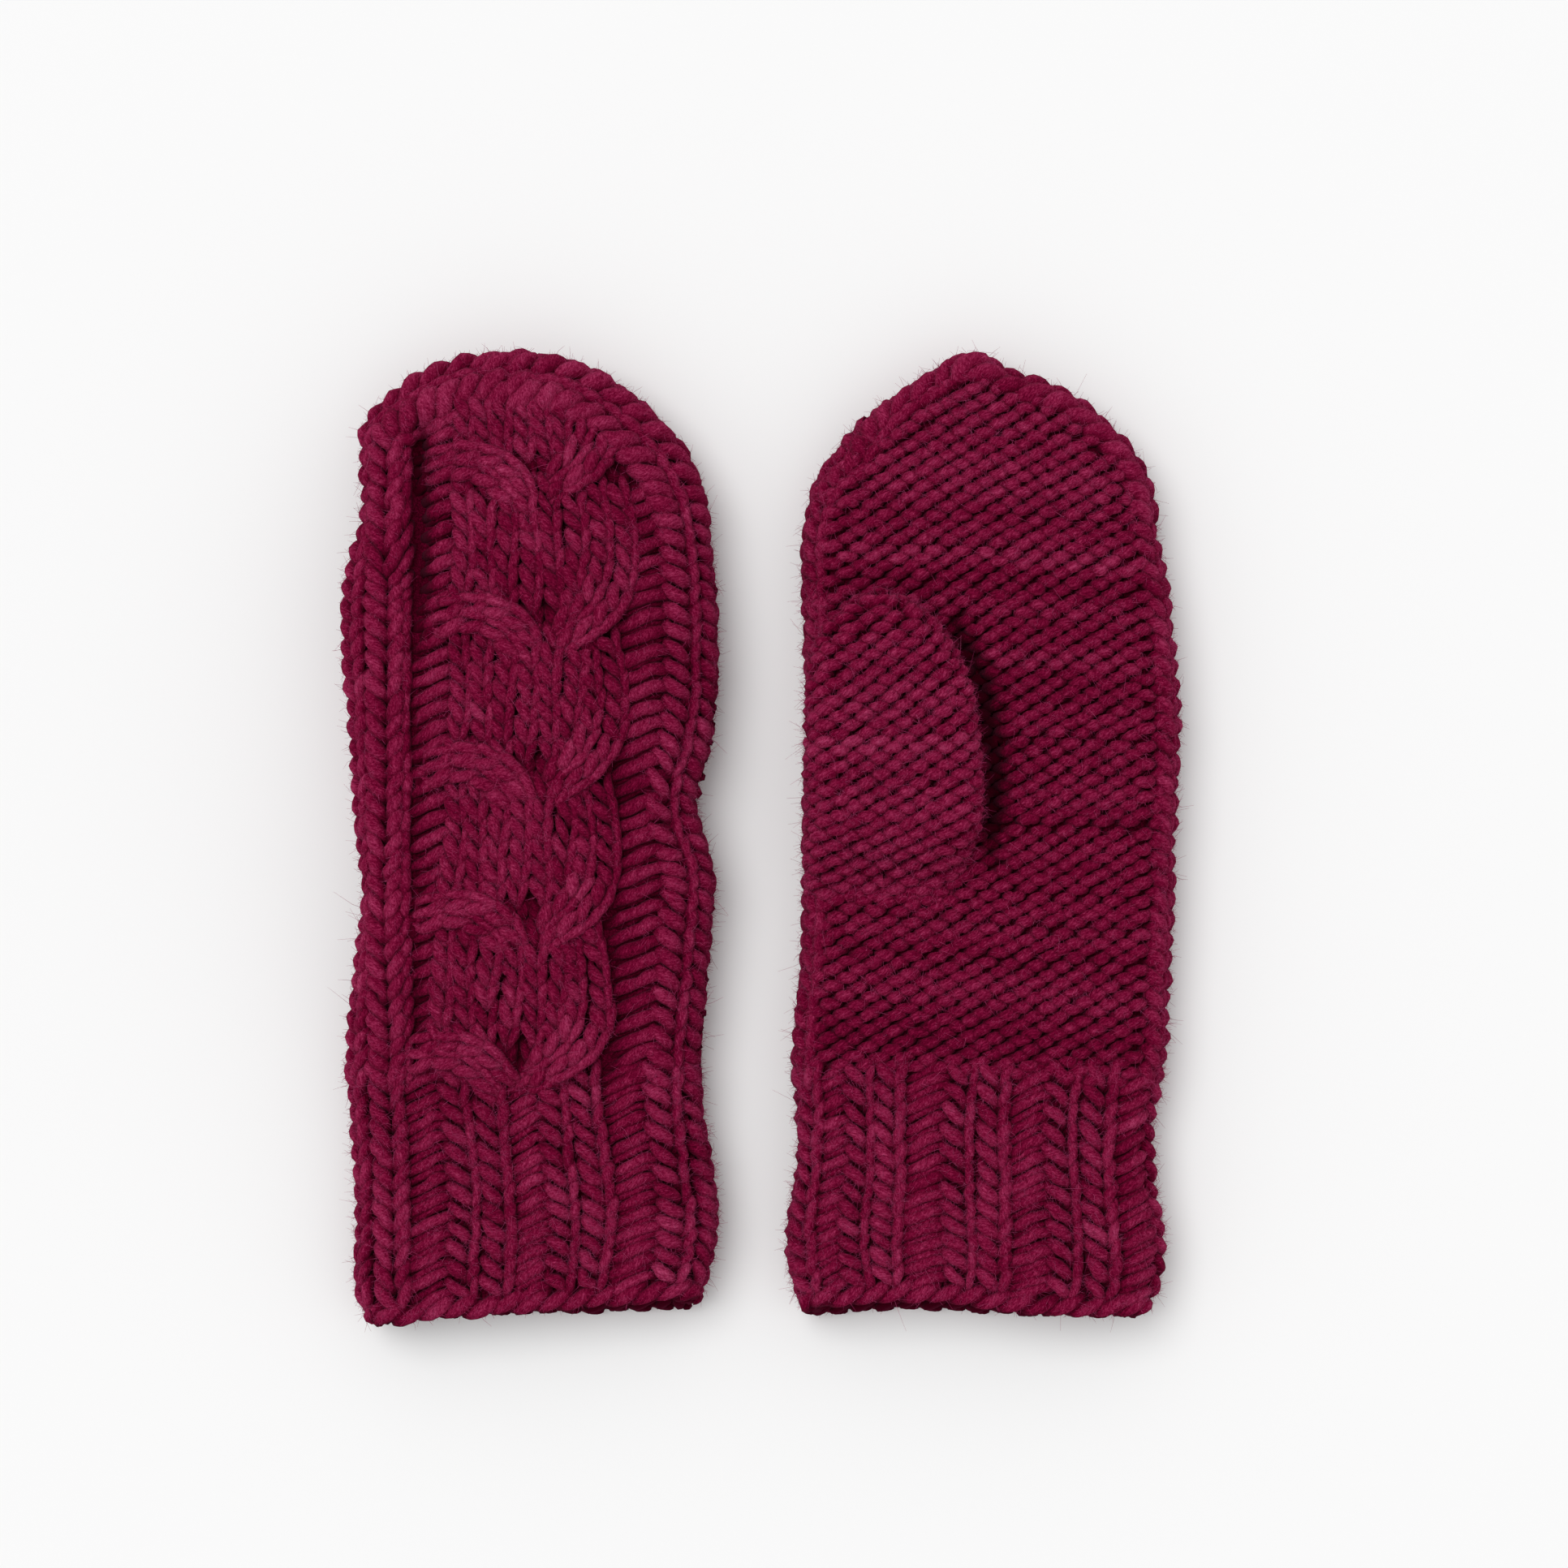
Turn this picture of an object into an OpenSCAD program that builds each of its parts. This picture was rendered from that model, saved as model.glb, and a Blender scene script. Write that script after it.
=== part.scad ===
// A pair of lined, cable-knit wool mittens laid side by side.
// The left-hand mitten lies palm up. The right-hand mitten lies back up on its own thumb.
// Millimetres, +Z up, +Y towards the fingertips.
// The origin is the centre of the pair's footprint, on the surface it lies on.

/* [Pair] */
// Centre line of the left-hand mitten, along X
left_x = 67.2; // [64:0.1:90]
// Centre line of the right-hand mitten, along X
right_x = -67.2; // [-90:0.1:-64]
// Which piece to draw

/* [Hand] */
// Half the width of the hand, which is also the radius of the rounded crown
hand_half_width = 54; // [50:0.5:60]
// Thickness of the knitted hand lying flat
hand_thickness = 22; // [20:0.5:26]
// Thickness of the knitted fabric
knit_wall = 4.5; // [3.5:0.1:5]
// Distance from the hem to the fingertips
mitten_length = 281; // [265:1:300]

/* [Cuff] */
// Height of the twisted cast-on edge
hem_height = 6; // [4:0.5:8]
// Height from the hem to the top of the ribbing
cuff_top = 72; // [60:1:85]
// Width of one two-stitch rib
rib_width = 14.4; // [12:0.1:16]
// Distance between neighbouring ribs
rib_pitch = 28.8; // [26:0.1:30]
// How far a rib stands out of the cuff
rib_height = 1.2; // [0.6:0.1:1.5]

/* [Cable] */
// How far the cable stands out of the back of the hand
cable_height = 2.6; // [2:0.1:4]
// Width of the cable
cable_width = 63; // [56:1:68]
// Length of one cable repeat
cable_repeat = 40; // [36:1:42]
// Width of a cable strand
cable_strand = 9; // [7:0.5:11]

/* [Thumb] */
// Centre of the thumb hole, across from the mitten's centre line
thumb_u = -28; // [-29.5:0.5:-27]
// Centre of the thumb hole, from the hem
thumb_v = 144; // [140:1:150]
// Half the width of the thumb
thumb_half_width = 23.5; // [22:0.5:24]
// Distance from the centre of the thumb hole to the centre of the rounded tip
thumb_reach = 42.6; // [38:0.2:48]
// Thickness of the thumb lying flat
thumb_thickness = 14; // [13.4:0.1:16]
// Thickness of the thumb's knitted fabric
thumb_wall = 3.8; // [3.4:0.1:3.9]
// Inner radius of the collar of stitches round the thumb hole
join_inner_r = 17.2; // [16:0.1:17.5]
// Outer radius of that collar
join_outer_r = 20; // [19.2:0.1:20.2]
// Gap between the thumb and the hand it turns on
thumb_gap = 0.3; // [0.3:0.1:0.6]

/* [Lining] */
// Thickness of the fleece lining in the hand
lining_wall = 1.5; // [1:0.1:2]
// Thickness of the fleece lining in the thumb
thumb_lining_wall = 0.9; // [0.7:0.1:1]
// How far the lining stops short of the hem
lining_inset = 3; // [2:0.5:5]
// Width of the stitching that ties the lining to the hem
seam_width = 3; // [2:0.5:4]

/* [Hidden] */
$fn = 96;
total_height = cable_height + hand_thickness + thumb_gap + thumb_thickness;
hem_y = -mitten_length / 2;
tube_r = hand_thickness / 2;
flat_half = hand_half_width - tube_r;
tube_z = cable_height + tube_r;
palm_z = cable_height + hand_thickness;
crown_v = mitten_length - hand_half_width;
lining_r = tube_r - knit_wall;
thumb_r = thumb_thickness / 2;
thumb_flat = thumb_half_width - thumb_r;
thumb_z = palm_z + thumb_gap + thumb_r;
thumb_lining_r = thumb_r - thumb_wall;
seam_v = lining_inset + seam_width;
cable_base = cable_height / 2;
cable_v = cuff_top + 4;
cups = 5;
cut = 1;

knit_red = [0.42, 0.045, 0.155];
thumb_red = [0.44, 0.055, 0.170];
cable_red = [0.46, 0.060, 0.180];
hem_red = [0.38, 0.035, 0.135];
fleece_dark = [0.06, 0.06, 0.07];
thread_dark = [0.10, 0.09, 0.10];

// Places a piece of the left-hand mitten, which lies palm up.
module left_hand() {
  translate([left_x, hem_y, 0])
    children();
}

// Places the same piece mirrored top to bottom, which makes the right-hand mitten.
module right_hand() {
  translate([right_x, hem_y, total_height])
    mirror([0, 0, 1])
      children();
}

// A slot shape with its rounded ends to the left and right.
module slot(half_width, r) {
  square([2 * (half_width - r), 2 * r], center = true);
  for (side = [-1, 1])
    translate([side * (half_width - r), 0])
      circle(r);
}

// The slot carried along the mitten from v0 to v1.
module flat_tube(half_width, r, v0, v1) {
  translate([0, v1, tube_z])
    rotate([90, 0, 0])
      linear_extrude(v1 - v0)
        slot(half_width, r);
}

// Half of the slot, on the +x side of its middle.
module half_slot(half_width, r) {
  translate([0, -r])
    square([half_width - r, 2 * r]);
  intersection() {
    translate([half_width - r, 0])
      circle(r);
    translate([half_width - r, -r])
      square([r, 2 * r]);
  }
}

// A half disc with a rounded rim, opening towards -y.
module rounded_crown(half_width, r) {
  rotate_extrude(angle = 180)
    half_slot(half_width, r);
}

// A half ring seen end on: the rounded edge of the folded fabric.
module edge_section() {
  difference() {
    circle(tube_r);
    circle(lining_r);
    translate([-2 * tube_r, -2 * tube_r])
      square([2 * tube_r, 4 * tube_r]);
  }
}

// The flat outline of one face of the hand, between the rounded edges.
module face_outline() {
  translate([-flat_half, cuff_top])
    square([2 * flat_half, crown_v - cuff_top]);
  intersection() {
    translate([0, crown_v])
      circle(flat_half);
    translate([-flat_half, crown_v])
      square([2 * flat_half, flat_half]);
  }
}

// Two-stitch ribs on both faces of the cuff, as a cross-section.
module rib_marks() {
  for (i = [-1.5:1:1.5])
    for (side = [-1, 1])
      translate([i * rib_pitch * 0.86, side * (tube_r - rib_height / 2)])
        square([rib_width, rib_height], center = true);
}

// One cup of the cable: a rounded strand that cradles three upright ones.
module cable_cup() {
  difference() {
    circle(cable_width / 2);
    circle(cable_width / 2 - cable_strand);
    translate([-cable_width, 0])
      square([2 * cable_width, cable_width]);
  }
  for (side = [-1, 1])
    translate([side * (cable_width - cable_strand) / 2 - cable_strand / 2, 0])
      square([cable_strand, cable_repeat / 3]);
  for (i = [-1, 0, 1])
    translate([i * 1.35 * cable_strand - cable_strand / 2, -cable_width / 4])
      square([cable_strand, cable_repeat * 0.8]);
}

// A pill-shaped solid in the thumb's place, with flat faces and a rounded rim.
module thumb_pill(half_width, r) {
  translate([thumb_u, thumb_v, thumb_z]) {
    rotate([0, 0, 180])
      rounded_crown(half_width, r);
    translate([0, thumb_reach, 0])
      rounded_crown(half_width, r);
    translate([0, thumb_reach, 0])
      rotate([90, 0, 0])
        linear_extrude(thumb_reach)
          slot(half_width, r);
  }
}

// A round bar through the thumb hole.
module thumb_bore(r, z0, z1) {
  translate([thumb_u, thumb_v, z0])
    cylinder(h = z1 - z0, r = r);
}

// The hand's fleece bag, closed at the fingertips and open at the wrist.
module lining_bag() {
  difference() {
    union() {
      flat_tube(hand_half_width - knit_wall, lining_r, lining_inset, crown_v);
      translate([0, crown_v, tube_z])
        rounded_crown(hand_half_width - knit_wall, lining_r);
    }
    flat_tube(hand_half_width - knit_wall - lining_wall, lining_r - lining_wall,
              lining_inset - cut, crown_v);
    translate([0, crown_v, tube_z])
      rounded_crown(hand_half_width - knit_wall - lining_wall, lining_r - lining_wall);
    // clears the stitching at the wrist
    flat_tube(hand_half_width - knit_wall + cut, lining_r + cut, 0, seam_v);
  }
}

// Everything below the middle of the hand's thickness.
module lower_half() {
  translate([-hand_half_width, 0, tube_z - hand_thickness])
    cube([2 * hand_half_width, mitten_length, hand_thickness]);
}

// Everything above it.
module upper_half() {
  translate([-hand_half_width, 0, tube_z])
    cube([2 * hand_half_width, mitten_length, hand_thickness]);
}

module hem_edge() {
  difference() {
    flat_tube(hand_half_width, tube_r, 0, hem_height);
    flat_tube(hand_half_width - knit_wall, lining_r, -cut, hem_height + cut);
  }
}

module rib_cuff() {
  translate([0, cuff_top, tube_z])
    rotate([90, 0, 0])
      linear_extrude(cuff_top - hem_height)
        difference() {
          union() {
            slot(hand_half_width - rib_height, tube_r - rib_height);
            rib_marks();
          }
          slot(hand_half_width - knit_wall, lining_r);
        }
}

module back_panel() {
  translate([0, 0, cable_height])
    linear_extrude(knit_wall)
      face_outline();
}

module back_cable() {
  translate([0, 0, cable_base])
    linear_extrude(cable_height - cable_base)
      intersection() {
        face_outline();
        translate([-cable_width / 2, cable_v])
          square([cable_width, mitten_length - cable_v]);
      }
  linear_extrude(cable_height)
    intersection() {
      face_outline();
      for (i = [0:cups - 1])
        translate([0, cable_v + cable_width / 2 + i * cable_repeat])
          cable_cup();
    }
}

module palm_panel() {
  difference() {
    translate([0, 0, palm_z - knit_wall])
      linear_extrude(knit_wall)
        face_outline();
    thumb_bore(join_outer_r, palm_z - knit_wall - cut, palm_z + cut);
  }
}

module side_band(side) {
  translate([0, crown_v, tube_z])
    mirror([side < 0 ? 1 : 0, 0, 0])
      translate([flat_half, 0, 0])
        rotate([90, 0, 0])
          linear_extrude(crown_v - cuff_top)
            edge_section();
}

// The thumb-side band, notched where the collar of the thumb hole overlaps it.
module notched_band() {
  difference() {
    side_band(-1);
    thumb_bore(join_outer_r, palm_z - knit_wall, palm_z + cut);
  }
}

module crown_band() {
  translate([0, crown_v, tube_z])
    rotate_extrude(angle = 180)
      translate([flat_half, 0])
        edge_section();
}

module thumb_join() {
  difference() {
    thumb_bore(join_outer_r, palm_z - knit_wall, palm_z + thumb_wall);
    thumb_bore(join_inner_r, palm_z - knit_wall - cut, palm_z + thumb_wall + cut);
  }
}

module thumb_shell() {
  difference() {
    thumb_pill(thumb_half_width, thumb_r);
    thumb_pill(thumb_half_width - thumb_wall, thumb_lining_r);
    thumb_bore(join_outer_r + thumb_gap, palm_z, thumb_z);
  }
}

module lining_back() {
  intersection() {
    lining_bag();
    lower_half();
  }
}

module lining_palm() {
  difference() {
    intersection() {
      lining_bag();
      upper_half();
    }
    thumb_bore(join_inner_r, tube_z, palm_z);
  }
}

module lining_thumb() {
  difference() {
    thumb_pill(thumb_half_width - thumb_wall, thumb_lining_r);
    thumb_pill(thumb_half_width - thumb_wall - thumb_lining_wall,
               thumb_lining_r - thumb_lining_wall);
    thumb_bore(join_inner_r, palm_z, thumb_z);
  }
}

module lining_seam() {
  difference() {
    flat_tube(hand_half_width - knit_wall, lining_r, lining_inset, seam_v);
    flat_tube(hand_half_width - knit_wall - lining_wall, lining_r - lining_wall,
              lining_inset - cut, seam_v + cut);
  }
}

module left_hem_edge() color(hem_red) left_hand() hem_edge();
module left_rib_cuff() color(knit_red) left_hand() rib_cuff();
module left_back_panel() color(knit_red) left_hand() back_panel();
module left_back_cable() color(cable_red) left_hand() back_cable();
module left_palm_panel() color(knit_red) left_hand() palm_panel();
module left_thumb_side_band() color(cable_red) left_hand() notched_band();
module left_outer_side_band() color(cable_red) left_hand() side_band(1);
module left_crown_band() color(cable_red) left_hand() crown_band();
module left_thumb_join() color(hem_red) left_hand() thumb_join();
module left_thumb_shell() color(thumb_red) left_hand() thumb_shell();
module left_lining_back() color(fleece_dark) left_hand() lining_back();
module left_lining_palm() color(fleece_dark) left_hand() lining_palm();
module left_lining_thumb() color(fleece_dark) left_hand() lining_thumb();
module left_lining_seam() color(thread_dark) left_hand() lining_seam();

module right_hem_edge() color(hem_red) right_hand() hem_edge();
module right_rib_cuff() color(knit_red) right_hand() rib_cuff();
module right_back_panel() color(knit_red) right_hand() back_panel();
module right_back_cable() color(cable_red) right_hand() back_cable();
module right_palm_panel() color(knit_red) right_hand() palm_panel();
module right_thumb_side_band() color(cable_red) right_hand() notched_band();
module right_outer_side_band() color(cable_red) right_hand() side_band(1);
module right_crown_band() color(cable_red) right_hand() crown_band();
module right_thumb_join() color(hem_red) right_hand() thumb_join();
module right_thumb_shell() color(thumb_red) right_hand() thumb_shell();
module right_lining_back() color(fleece_dark) right_hand() lining_back();
module right_lining_palm() color(fleece_dark) right_hand() lining_palm();
module right_lining_thumb() color(fleece_dark) right_hand() lining_thumb();
module right_lining_seam() color(thread_dark) right_hand() lining_seam();

left_hem_edge();
left_rib_cuff();
left_back_panel();
left_back_cable();
left_palm_panel();
left_thumb_side_band();
left_outer_side_band();
left_crown_band();
left_thumb_join();
left_thumb_shell();
left_lining_back();
left_lining_palm();
left_lining_thumb();
left_lining_seam();
right_hem_edge();
right_rib_cuff();
right_back_panel();
right_back_cable();
right_palm_panel();
right_thumb_side_band();
right_outer_side_band();
right_crown_band();
right_thumb_join();
right_thumb_shell();
right_lining_back();
right_lining_palm();
right_lining_thumb();
right_lining_seam();
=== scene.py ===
import math

import bpy
import numpy as np
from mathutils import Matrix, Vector


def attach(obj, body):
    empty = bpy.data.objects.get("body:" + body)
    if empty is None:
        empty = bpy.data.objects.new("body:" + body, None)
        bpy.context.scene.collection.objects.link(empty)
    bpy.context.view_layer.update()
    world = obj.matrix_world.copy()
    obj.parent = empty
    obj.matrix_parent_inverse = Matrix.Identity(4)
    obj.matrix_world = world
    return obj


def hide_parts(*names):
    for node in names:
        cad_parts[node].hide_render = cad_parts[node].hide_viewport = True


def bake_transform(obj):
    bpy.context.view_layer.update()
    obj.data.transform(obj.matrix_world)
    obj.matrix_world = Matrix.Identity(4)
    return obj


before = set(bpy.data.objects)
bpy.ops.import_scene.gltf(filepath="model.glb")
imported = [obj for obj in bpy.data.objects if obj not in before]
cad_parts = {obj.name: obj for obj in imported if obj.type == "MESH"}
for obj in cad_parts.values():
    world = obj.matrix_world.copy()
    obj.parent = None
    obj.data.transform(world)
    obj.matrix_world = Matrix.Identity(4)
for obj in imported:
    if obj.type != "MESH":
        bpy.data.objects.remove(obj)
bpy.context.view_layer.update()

rng = np.random.default_rng(11)

# The script works in millimetres. A mitten's u runs across it from its middle, and v up from its hem.
MM = 0.001
HEM_Y = -140.5
# Height of the purl rows, and the slope at which they fall across the mitten.
PURL_PITCH = 4.95
PURL_FALL = -0.055
# Depth of the crease in the palm beside the thumb, and of the fold in the back beside the cable.
CREASE = 7.5
FOLD = 5.0
# Yarn below SOFT millimetres is pressed together above the table, and none of it reaches TABLE.
TABLE = 0.2
SOFT = 1.8
# Sides of a tube of yarn.
SIDES = 7

# ---- outlines

# Outlines seen from above, as (u, v) from the hem's left corner over the fingertips to its right corner.
RIGHT_OUTLINE = [
    (-49.5, 2), (-52.0, 11), (-51.5, 31), (-52.6, 55), (-54.0, 76), (-51.8, 95), (-49.8, 112),
    (-48.4, 125), (-50.8, 149), (-51.8, 172), (-53.6, 190), (-54.4, 208), (-53.2, 218),
    (-50.3, 227), (-48.7, 236), (-49.4, 247), (-49.2, 256), (-46.6, 263.5), (-38.5, 271),
    (-29.5, 276.5), (-17.5, 280.3), (-1.0, 281), (9.5, 280), (18.5, 276.3), (27.0, 270.8),
    (37.0, 262), (44.2, 253), (48.4, 244), (51.2, 233), (53.0, 217), (53.8, 200), (53.2, 180),
    (50.8, 166), (48.0, 156), (48.0, 147), (51.2, 138), (52.8, 128), (51.6, 112), (50.0, 92),
    (48.6, 76), (50.4, 57), (52.8, 41), (53.8, 27), (52.4, 12), (49.5, 2),
]
LEFT_OUTLINE = [
    (-56.0, 2), (-58.9, 12), (-59.5, 24), (-58.6, 33), (-56.8, 45), (-56.6, 57), (-57.4, 72),
    (-56.3, 92), (-55.0, 105), (-54.5, 125), (-54.3, 149), (-53.3, 172), (-53.8, 196),
    (-54.4, 212), (-54.2, 230), (-50.6, 244), (-44.8, 253), (-36.8, 262), (-25.5, 270.5),
    (-17.5, 275.5), (-11.0, 280), (-4.5, 281.3), (1.5, 278.5), (7.5, 275.5), (21.6, 270.8),
    (33.6, 262), (41.6, 253), (46.0, 243), (49.0, 228), (52.2, 210), (54.3, 190), (55.2, 176),
    (54.6, 158), (53.8, 140), (53.6, 128), (52.9, 112), (52.0, 95), (51.3, 80), (48.9, 66),
    (47.3, 54), (48.4, 39), (50.6, 22), (50.2, 10), (47.0, 2),
]
THUMB_OUTLINE = [
    (-53.6, 108), (-54.0, 122), (-54.2, 135), (-54.2, 150), (-54.2, 166), (-54.0, 182), (-52.8, 192),
    (-49.4, 201.5), (-43.6, 208.2), (-36.0, 211.8), (-28.5, 211.8), (-21.4, 208.5), (-14.8, 202.5),
    (-9.6, 194.5), (-6.4, 186.5), (-4.4, 177.0), (-3.2, 163), (-2.6, 150), (-4.0, 141.5), (-7.0, 134),
    (-9.5, 124), (-11.0, 112),
]
# How far each thumb's outside edge lies in from that outline.
THUMB_TUCK = {"right": 6.0, "left": 0.0}
# How far the hem curves up towards the fingertips: places across each mitten, then the rise at each.
HEM_LINE = {
    "right": ((-54, -42, -20, 0, 25, 40, 54), (0.0, 0.3, 2.8, 4.2, 6.2, 7.6, 9.0)),
    "left": ((-60, -45, -24, -5, 14, 30, 44, 52), (4.6, 5.6, 7.8, 6.2, 3.6, 3.0, 3.8, 4.6)),
}


def curve_through(points, steps):
    """Smooth curves through batches of points, shape (batch, points, values)."""
    first = 2 * points[:, :1] - points[:, 1:2]
    last = 2 * points[:, -1:] - points[:, -2:-1]
    q = np.concatenate([first, points, last], 1)
    a, b, c, d = (x[:, :, None] for x in (q[:, :-3], q[:, 1:-2], q[:, 2:-1], q[:, 3:]))
    t = (np.arange(steps) / steps)[None, None, :, None]
    out = 0.5 * (2 * b + (c - a) * t + (2 * a - 5 * b + 4 * c - d) * t**2
                 + (3 * b - a - 3 * c + d) * t**3)
    out = out.reshape(points.shape[0], -1, points.shape[2])
    return np.concatenate([out, points[:, -1:]], 1)


def smoothstep(x):
    x = np.clip(x, 0, 1)
    return x * x * (3 - 2 * x)


def quarter_turn(edge):
    """Length of the fabric that rounds a quarter of the way over an edge. It is a little snug."""
    return edge * math.pi / 2 * 0.97


def press(z):
    """Heights of yarn that is squashed against the table. What is lower stays lower."""
    room = SOFT - TABLE
    return np.where(z < SOFT, TABLE + room * np.exp(np.minimum(z - SOFT, 0) / room), z)


class Soft:
    """A soft flat shape, closed round its outline and open at its base."""

    # How far the middle of the fabric lies inside the outline, and the radius at which it rounds over.
    INSET = 3.0
    EDGE = 10.0
    # The inside of the shape reaches down to this v, so that its open base isn't rounded over.
    OPEN = -50.0
    # The fabric's own lowest v.
    START = 3.0
    # First u and v of the 1 mm grid of distances, and its number of points each way.
    GRID_START = (-66.0, -6.0)
    GRID_SIZE = (133, 294)

    def __init__(self, centre_x, outline):
        self.cx = centre_x
        line = curve_through(np.array(outline, float)[None], 8)[0]
        step = np.gradient(line, axis=0)
        step /= np.linalg.norm(step, axis=1)[:, None]
        inward = np.stack([step[:, 1], -step[:, 0]], 1)
        line = line + inward * self.INSET
        line[:, 1] = np.maximum(line[:, 1], self.START)
        self.line = line
        self.inward = inward
        self.arc = np.concatenate([[0], np.cumsum(np.linalg.norm(np.diff(line, axis=0), axis=1))])
        self.make_grid()

    def make_grid(self):
        """Distance from the edge on a 1 mm grid, with its slope."""
        us, vs = (start + np.arange(size) for start, size in zip(self.GRID_START, self.GRID_SIZE))
        gu, gv = np.meshgrid(us, vs, indexing="ij")
        p = np.stack([gu.ravel(), gv.ravel()], 1)
        a, b = self.line[:-1], self.line[1:]
        best = np.full(len(p), 1e9)
        for i in range(len(a)):
            d = b[i] - a[i]
            t = np.clip(((p - a[i]) @ d) / (d @ d), 0, 1)
            best = np.minimum(best, np.linalg.norm(p - a[i] - t[:, None] * d, axis=1))
        inside = np.zeros(len(p), bool)
        first, last = ([[self.line[i, 0], self.OPEN]] for i in (0, -1))
        closed = np.concatenate([first, self.line, last])
        for (x0, y0), (x1, y1) in zip(closed, np.roll(closed, -1, 0)):
            crosses = (y0 > p[:, 1]) != (y1 > p[:, 1])
            at = x0 + (p[:, 1] - y0) / (y1 - y0 + 1e-12) * (x1 - x0)
            inside ^= crosses & (p[:, 0] < at)
        self.e = np.where(inside, best, -best).reshape(gu.shape)
        self.gu, self.gv = np.gradient(self.e)

    def sample(self, grid, u, v):
        """Value of a grid at (u, v)."""
        x = np.clip(u - self.GRID_START[0], 0, grid.shape[0] - 1.001)
        y = np.clip(v - self.GRID_START[1], 0, grid.shape[1] - 1.001)
        i, j = x.astype(int), y.astype(int)
        f, g = x - i, y - j
        return (grid[i, j] * (1 - f) * (1 - g) + grid[i + 1, j] * f * (1 - g)
                + grid[i, j + 1] * (1 - f) * g + grid[i + 1, j + 1] * f * g)

    def edges(self, v):
        """Left and right edge of the fabric at distance v from the hem."""
        top = np.argmax(self.line[:, 1])
        left, right = self.line[:top + 1], self.line[top:][::-1]
        return (np.interp(v, left[:, 1], left[:, 0]), np.interp(v, right[:, 1], right[:, 0]))

    def crease(self, u, v, side):
        """How deep a face sinks at (u, v)."""
        return 0.0

    def place(self, u, v, d, side, e=None, out=None):
        """Point and outward normal at (u, v), d above the fabric of the upper (+1) or lower (-1) face.

        e is the distance from the edge and out the way to it, where the caller knows them.
        """
        if e is None:
            e = self.sample(self.e, u, v)
            slope = np.stack([self.sample(self.gu, u, v), self.sample(self.gv, u, v)], -1)
            out = -slope / np.maximum(np.linalg.norm(slope, axis=-1, keepdims=True), 1e-6)
        c = 1 - np.clip(e / self.EDGE, 0.0, 1)
        s = np.sqrt(np.maximum(1 - c * c, 0))
        normal = np.stack([out[..., 0] * c, out[..., 1] * c, side * s], -1)
        z = self.middle(u, v) + side * self.half(u, v) * s
        z = z - side * self.crease(u, v, side)
        p = np.stack([u, v, z], -1) + normal * d[..., None]
        return self.world(p, normal[..., 2]), normal

    def world(self, p, side):
        """From the mitten's own u and v to the shared frame. The hem's upper edge isn't quite straight."""
        shift = np.interp(p[..., 0], *HEM_LINE[self.name]) * (1 - smoothstep(p[..., 1] / 48))
        p = p + np.array([self.cx, HEM_Y, 0.0])
        p[..., 1] += shift * (0.7 + 0.3 * side)
        return p

    def face(self, side):
        """A chart of one face, with X to the right as seen by someone looking at that face."""
        def chart(x, y, d):
            return self.place(side * x, y, d, side)
        return chart

    def rim(self, flip):
        """A chart that follows the edge: X is the distance round it, Y the distance along it."""
        quarter = quarter_turn(self.EDGE)

        def chart(x, y, d):
            q = x * flip
            side = np.where(q >= 0, 1.0, -1.0)
            angle = np.clip(np.abs(q) / quarter, 0, 1) * math.pi / 2
            e = self.EDGE * (1 - np.cos(angle)) + np.maximum(np.abs(q) - quarter, 0)
            lu, lv, nu, nv = (np.interp(y, self.arc, a) for a in (*self.line.T, *self.inward.T))
            n = np.hypot(nu, nv)
            nu, nv = nu / n, nv / n
            return self.place(lu + nu * e, lv + nv * e, d, side, e, np.stack([-nu, -nv], -1))
        return chart

    def girth(self, v):
        """Left edge, edge radius, quarter turn, flat width and distance round the shape at v."""
        left, right = self.edges(v)
        edge = np.minimum(self.EDGE, np.maximum((right - left) / 2 - 0.5, 0.5))
        quarter = quarter_turn(edge)
        flat = np.maximum(right - left - 2 * edge, 0)
        return left, edge, quarter, flat, 4 * quarter + 2 * flat

    def ring(self):
        """A chart that goes right round: X is 0 to 1, from the left side over the upper face."""
        def chart(x, y, d):
            left, edge, quarter, flat, total = self.girth(y)
            p = np.mod(x, 1.0) * total
            upper = p < total / 2
            p = np.where(upper, p, total - p)
            near = np.clip(p / quarter, 0, 1) * math.pi / 2
            far = np.clip((2 * quarter + flat - p) / quarter, 0, 1) * math.pi / 2
            u = left + edge * (1 - np.cos(near)) + np.clip(p - quarter, 0, flat) + edge * np.cos(far)
            return self.place(u, y, d, np.where(upper, 1.0, -1.0))
        return chart

    def belt(self, total):
        """The ring chart with X in millimetres, for a girth of total."""
        ring = self.ring()

        def chart(x, y, d):
            return ring(x / total, y, d)
        return chart

    def ring_x(self, u, side, v):
        """The ring chart's X of the point (u, v) on one face."""
        left, edge, quarter, flat, total = (float(a) for a in self.girth(v))
        right = left + 2 * edge + flat
        if u - left < edge:
            p = math.acos(1 - max(u - left, 0) / edge) / (math.pi / 2) * quarter
        elif right - u < edge:
            p = 2 * quarter + flat - math.acos(1 - max(right - u, 0) / edge) / (math.pi / 2) * quarter
        else:
            p = quarter + u - left - edge
        return p / total if side > 0 else 1 - p / total


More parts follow.
